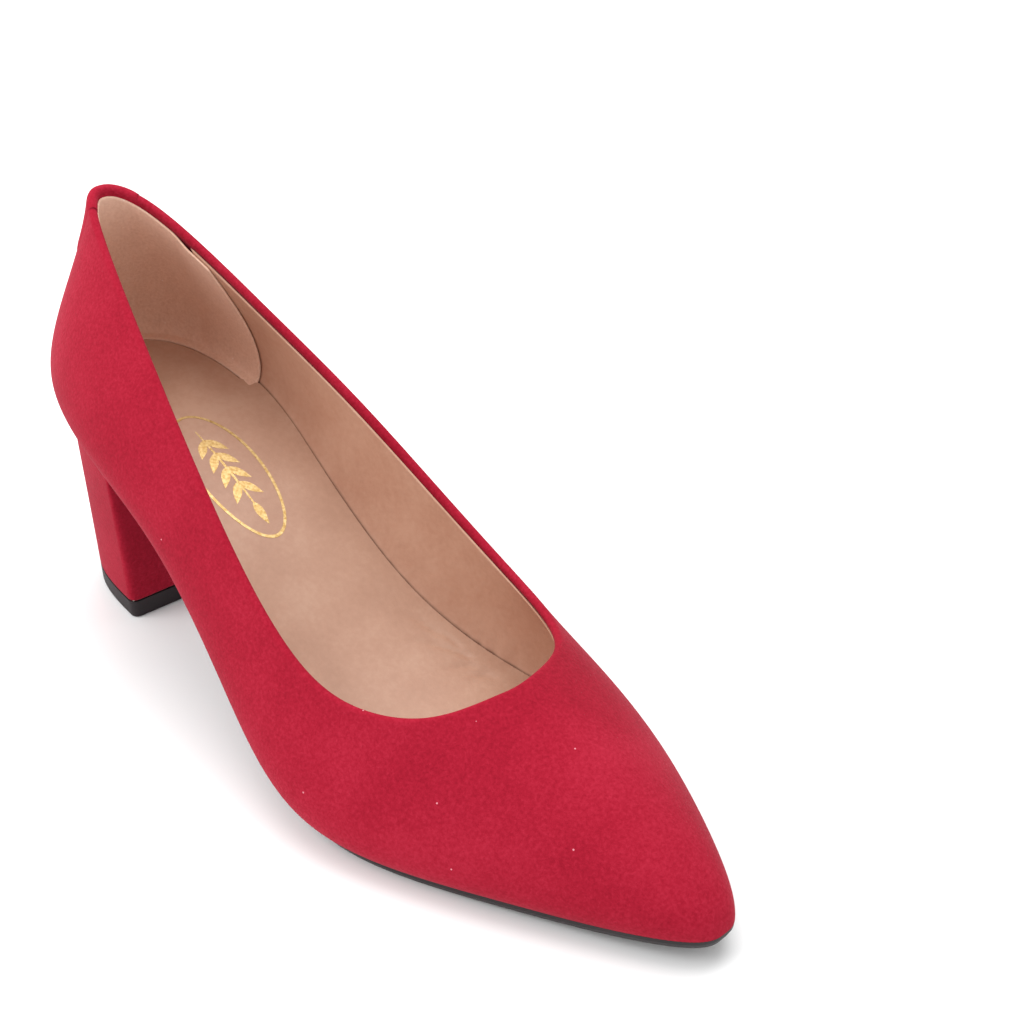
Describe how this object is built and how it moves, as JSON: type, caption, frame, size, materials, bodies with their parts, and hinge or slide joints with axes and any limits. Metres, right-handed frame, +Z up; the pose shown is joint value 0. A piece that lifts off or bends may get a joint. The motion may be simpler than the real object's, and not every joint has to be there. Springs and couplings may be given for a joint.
{
  "type": "high heel pump",
  "caption": "Pointed-toe women's pump in suede with a low-cut topline, leather lining, padded sock and a suede-covered block heel on a rubber top piece.",
  "frame": {"origin": "on the ground below the middle of the shoe's bounding box", "axes": "+X towards the toe, +Y towards the arch (inner) side of the right foot, +Z up from the ground"},
  "size_m": [0.2628, 0.0885, 0.1284],
  "materials": {
    "red_suede": "matte",
    "nude_leather": "satin",
    "nude_suede": "matte",
    "reinforcing_tape": "matte",
    "stiffener": "matte",
    "fibreboard": "matte",
    "cushion_foam": "matte",
    "filler": "matte",
    "steel": "satin",
    "rivet_brass": "satin",
    "heel_plastic": "matte",
    "black_rubber": "matte"
  },
  "bodies": {
    "root": {"upper": "red_suede", "back_tab": "red_suede", "topline_tape": "reinforcing_tape", "toe_puff": "stiffener", "heel_counter": "stiffener", "front_lining": "nude_leather", "heel_grip": "nude_suede", "sock_lining": "nude_leather", "sock_cushion": "cushion_foam", "forefoot_cushion": "cushion_foam", "shank_board": "fibreboard", "insole_board": "fibreboard", "steel_shank": "steel", "shank_rivets": "rivet_brass", "bottom_filler": "filler", "outsole": "black_rubber", "heel_block": "heel_plastic", "heel_cover": "red_suede", "heel_screw": "steel", "heel_nails": "steel", "top_piece": "black_rubber", "top_piece_pins": "steel"}
  },
  "joints": []
}
